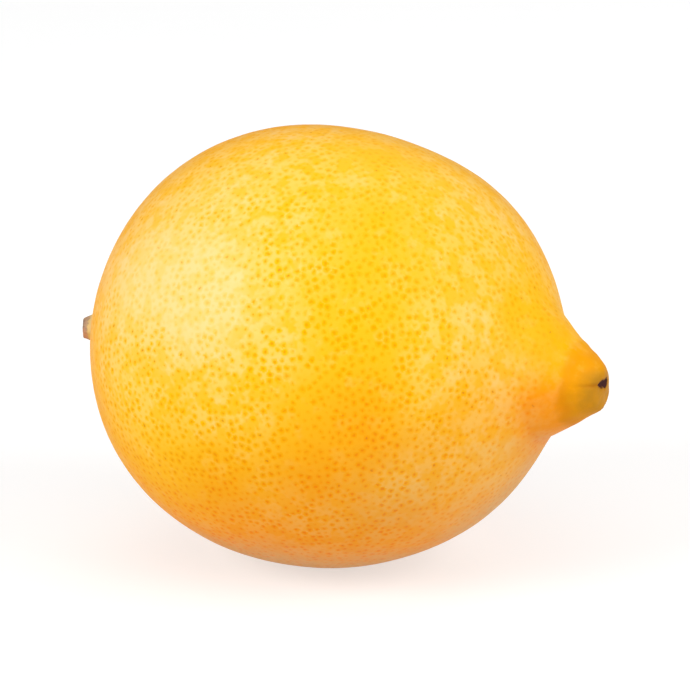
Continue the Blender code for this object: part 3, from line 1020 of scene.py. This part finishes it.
def stem_material(look, foot, end):
    """Straw beside the fruit, brown bark towards the cut, and a pale cut face with rings, with painted shade in a
    dark line round the cut's edge.
    """
    made, b, surface, colour, place = dry_material("cut_stem", look.bark, look.wood, 0.75, 0.25)
    x, y, z = b.parts(place)
    wander = b.times(b.stray(place, 0.8 * MM), 0.8 * MM)
    lower = b.ramp(b.total(z, wander), end.z + 0.6 * MM, end.z - 0.6 * MM, 0.0, 0.85)
    colour = b.mix(lower, colour, look.russet)
    near_fruit = b.ramp(b.total(x, wander), end.x + 1.15 * MM, end.x + 1.65 * MM)
    foot_colour = b.mix(lower, look.straw, look.ochre)
    colour = b.mix(b.times(near_fruit, 0.85), colour, foot_colour)
    off = b.vector("SUBTRACT", place, tuple(end))
    out = b.vector("LENGTH", b.vector("MULTIPLY", off, (0.0, 1.0, 1.0)))
    uneven_out = b.total(out, b.times(b.noise(place, 0.9 * MM), 0.4 * MM))
    rings = b.math("SINE", b.times(uneven_out, 2.0 * math.pi / (0.45 * MM)))
    cut = b.mix(b.ramp(rings, -1.0, 1.0, 0.0, 0.5), look.wood, look.bark)
    pith = b.ramp(out, 0.55 * MM, 0.30 * MM)
    dark_pith_and_shade = tuple(DARK_PITH_AND_SHADE * level for level in look.bark)
    cut = b.mix(b.times(pith, 0.8), cut, dark_pith_and_shade)
    inside = b.ramp(out, 0.93 * look.radius, 0.85 * look.radius)
    on_face = b.times(b.ramp(x, end.x + 0.30 * MM, end.x + 0.12 * MM), inside)
    colour = b.mix(on_face, colour, cut)
    # Painted shade: a dark line round the outer edge of the cut, stronger towards the top.
    cut_edge_shade = b.bell(out, 0.16 * MM, look.radius)
    near_cut = b.ramp(x, end.x + 0.9 * MM, end.x + 0.3 * MM)
    cut_edge_shade = b.times(cut_edge_shade, near_cut, b.ramp(z, end.z, end.z + 0.8 * MM, 0.2, 0.7))
    colour = b.mix(cut_edge_shade, colour, dark_pith_and_shade)
    b.feed(surface.inputs["Base Color"], colour)
    return made


class LEMON_OT_stem(bpy.types.Operator):
    """Make the cut stub of the stem, flared where it meets the calyx"""

    bl_idname = "lemon.stem"
    bl_label = "Stem"

    def execute(self, context):
        look = context.scene.lemon.stem
        foot, end = stem_line()
        upward, sideways = side_axes(STEM_DIRECTION)
        end += STEM_DIRECTION * CUT_REACH
        length = (end - foot).length
        if length <= look.foot_radius * 0.5:
            raise RuntimeError("the stem is too short for its foot: make the foot's radius smaller")
        rows = [(-STEM_BURIED, look.radius)]
        rows += [(step / 24.0 * (length - CUT_BEVEL), look.radius) for step in range(25)]
        for step in range(1, 4):
            bend = math.radians(30.0 * step)
            inset = CUT_BEVEL * (1.0 - math.cos(bend))
            rows.append((length - CUT_BEVEL * (1.0 - math.sin(bend)), look.radius - inset))
        for share in (0.86, 0.7, 0.5, 0.32, 0.16):
            rows.append((length - CUT_HOLLOW * (1.0 - share), (look.radius - CUT_BEVEL) * share))

        def point(reach, radius, roll):
            """On the ribbed, flared stem: reach along it, roll round it."""
            gone = min(max(reach / length, 0.0), 1.0)
            rib = 1.0 + 0.035 * math.cos(5.0 * roll + 0.6) + 0.015 * math.cos(13.0 * roll + 900.0 * reach)
            flare = (look.foot_radius - look.radius) * (1.0 - gone) ** (1.25 - 0.35 * math.cos(roll))
            slant = (CUT_SLANT_ASIDE * math.sin(roll) - CUT_SLANT_UP * math.cos(roll)) * radius * gone
            across = upward * math.cos(roll) + sideways * math.sin(roll)
            return foot + STEM_DIRECTION * (reach + slant) + across * (radius + flare) * rib

        rings = [[point(reach, radius, roll) for roll in turns(STEM_SEGMENTS)] for reach, radius in rows]
        start = foot - STEM_DIRECTION * STEM_BURIED
        finish = foot + STEM_DIRECTION * (length - CUT_HOLLOW)
        piece = ring_mesh("lemon_stem", rings, start, finish, stem_material(look, foot, end))
        ride_and_replace(piece, "stem")
        return {"FINISHED"}


# Stage

# Soft white lights: name, azimuth and elevation in degrees, width, power in watts.
LIGHTS = (
    ("key", -40.0, 28.0, 0.75, 9.7),
    ("top", 5.0, 66.0, 1.20, 4.2),
    ("fill", 80.0, 32.0, 1.00, 9.8),
    ("back", 175.0, 40.0, 1.00, 2.4),
)
LIGHT_DISTANCE = 1.30

# The room: brightness level with the floor, brightness overhead, and the angle over which one becomes the other.
ROOM_HORIZON = 0.32
ROOM_OVERHEAD = 0.24
ROOM_FADE = 22.0 * DEGREE

# The camera looks a little past the body's centre, so that the whole lemon is in the middle.
CAMERA_ASIDE = 2.33 * MM
CAMERA_RAISED = 0.20 * MM

# The floor and the room look bright, like a lit backdrop, but throw less light than that on the lemon.
FLOOR_GLOW_SEEN = 0.58
FAR_GLOW_SEEN = 0.84
FLOOR_GLOW_CAST = 0.31
ROOM_SEEN = 0.98

# The floor's half width, and how far from the middle its seen glow begins to grow and is full.
FLOOR_HALF = 8.0
GLOW_GROWS, GLOW_FULL = 0.4, 2.2

SENSOR_WIDTH = 36.0


def around_centre(azimuth, elevation):
    """A unit vector out from the lemon, azimuth 0 towards -Y and turning towards +X."""
    level = math.cos(elevation)
    return Vector((math.sin(azimuth) * level, -math.cos(azimuth) * level, math.sin(elevation)))


def look_along(made, direction):
    made.rotation_mode = "QUATERNION"
    made.rotation_quaternion = direction.to_track_quat("-Z", "Y")


def seen_or_cast(b, seen, cast):
    """One value for what the camera sees directly, and another for the light that is thrown."""
    return b.ramp(b.add("ShaderNodeLightPath").outputs["Is Camera Ray"], 0.0, 1.0, cast, seen)


def soft_light(name, azimuth, elevation, width, power):
    data = bpy.data.lights.new(name, "AREA")
    data.shape = "DISK"
    data.size = width
    data.energy = power
    lamp = placed(name, data)
    out = around_centre(math.radians(azimuth), math.radians(elevation))
    lamp.location = body_centre() + out * LIGHT_DISTANCE
    look_along(lamp, -out)


def make_floor(look):
    mesh = bpy.data.meshes.new("floor")
    half = FLOOR_HALF
    corners = [(-half, -half, 0.0), (half, -half, 0.0), (half, half, 0.0), (-half, half, 0.0)]
    mesh.from_pydata(corners, [], [(0, 1, 2, 3)])
    made, b, surface = shader_tree("pale_floor")
    b.feed(surface.inputs["Base Color"], look.floor_colour)
    surface.inputs["Roughness"].default_value = 0.9
    surface.inputs["Specular IOR Level"].default_value = 0.2
    b.feed(surface.inputs["Emission Color"], WHITE)
    away = b.vector("LENGTH", b.add("ShaderNodeTexCoord").outputs["Object"])
    glow_seen = b.ramp(away, GLOW_GROWS, GLOW_FULL, FLOOR_GLOW_SEEN, FAR_GLOW_SEEN)
    b.feed(surface.inputs["Emission Strength"], seen_or_cast(b, glow_seen, FLOOR_GLOW_CAST))
    mesh.materials.append(made)
    floor = placed("floor", mesh)


def make_world():
    """A soft room, bright near the horizon and dimmer overhead."""
    world = bpy.data.worlds.new("soft_room")
    world.use_nodes = True
    b = Builder(world.node_tree)
    height = b.parts(b.add("ShaderNodeTexCoord").outputs["Generated"])["Z"]
    fade = math.sin(ROOM_FADE)
    background = world.node_tree.nodes["Background"]
    b.feed(background.inputs["Color"], WHITE)
    cast = b.ramp(height, 0.0, fade, ROOM_HORIZON, ROOM_OVERHEAD)
    b.feed(background.inputs["Strength"], seen_or_cast(b, ROOM_SEEN, cast))
    bpy.context.scene.world = world


def make_camera(look):
    data = bpy.data.cameras.new("camera")
    data.lens = look.lens
    data.sensor_width = SENSOR_WIDTH
    camera = placed("camera", data)
    out = around_centre(look.azimuth, look.elevation)
    right = Vector((math.cos(look.azimuth), math.sin(look.azimuth), 0.0))
    look_along(camera, -out)
    camera.location = body_centre() + out * look.distance + right * CAMERA_ASIDE
    camera.location.z += CAMERA_RAISED
    bpy.context.scene.camera = camera


class LEMON_OT_stage(bpy.types.Operator):
    """Make the plain floor, the soft lights and the camera"""

    bl_idname = "lemon.stage"
    bl_label = "Stage"

    def execute(self, context):
        look = context.scene.lemon.stage
        make_floor(look)
        make_world()
        for light in LIGHTS:
            soft_light(*light)
        make_camera(look)
        context.scene.view_settings.view_transform = "Standard"
        return {"FINISHED"}


class VIEW3D_PT_lemon(bpy.types.Panel):
    """The lemon's sizes, colours and pieces"""

    bl_label = "Lemon"
    bl_space_type = "VIEW_3D"
    bl_region_type = "UI"
    bl_category = "Lemon"

    def draw(self, context):
        groups = (
            (context.scene.lemon.fruit, ("lemon.fruit",)),
            (context.scene.lemon.rind, ()),
            (context.scene.lemon.stem, ("lemon.calyx", "lemon.stem")),
            (context.scene.lemon.stage, ("lemon.stage",)),
        )
        for group, operators in groups:
            box = self.layout.box()
            for name in group.__annotations__:
                box.prop(group, name)
            for operator in operators:
                box.operator(operator)


CLASSES = (
    LemonFruit,
    LemonRind,
    LemonStem,
    LemonStage,
    LemonSettings,
    LEMON_OT_fruit,
    LEMON_OT_calyx,
    LEMON_OT_stem,
    LEMON_OT_stage,
    VIEW3D_PT_lemon,
)


def register():
    for made in CLASSES:
        bpy.utils.register_class(made)
    bpy.types.Scene.lemon = PointerProperty(type=LemonSettings)


def unregister():
    del bpy.types.Scene.lemon
    for made in reversed(CLASSES):
        bpy.utils.unregister_class(made)


def main():
    register()
    bpy.ops.lemon.fruit()
    bpy.ops.lemon.calyx()
    bpy.ops.lemon.stem()
    bpy.ops.lemon.stage()


if __name__ == "__main__":
    main()
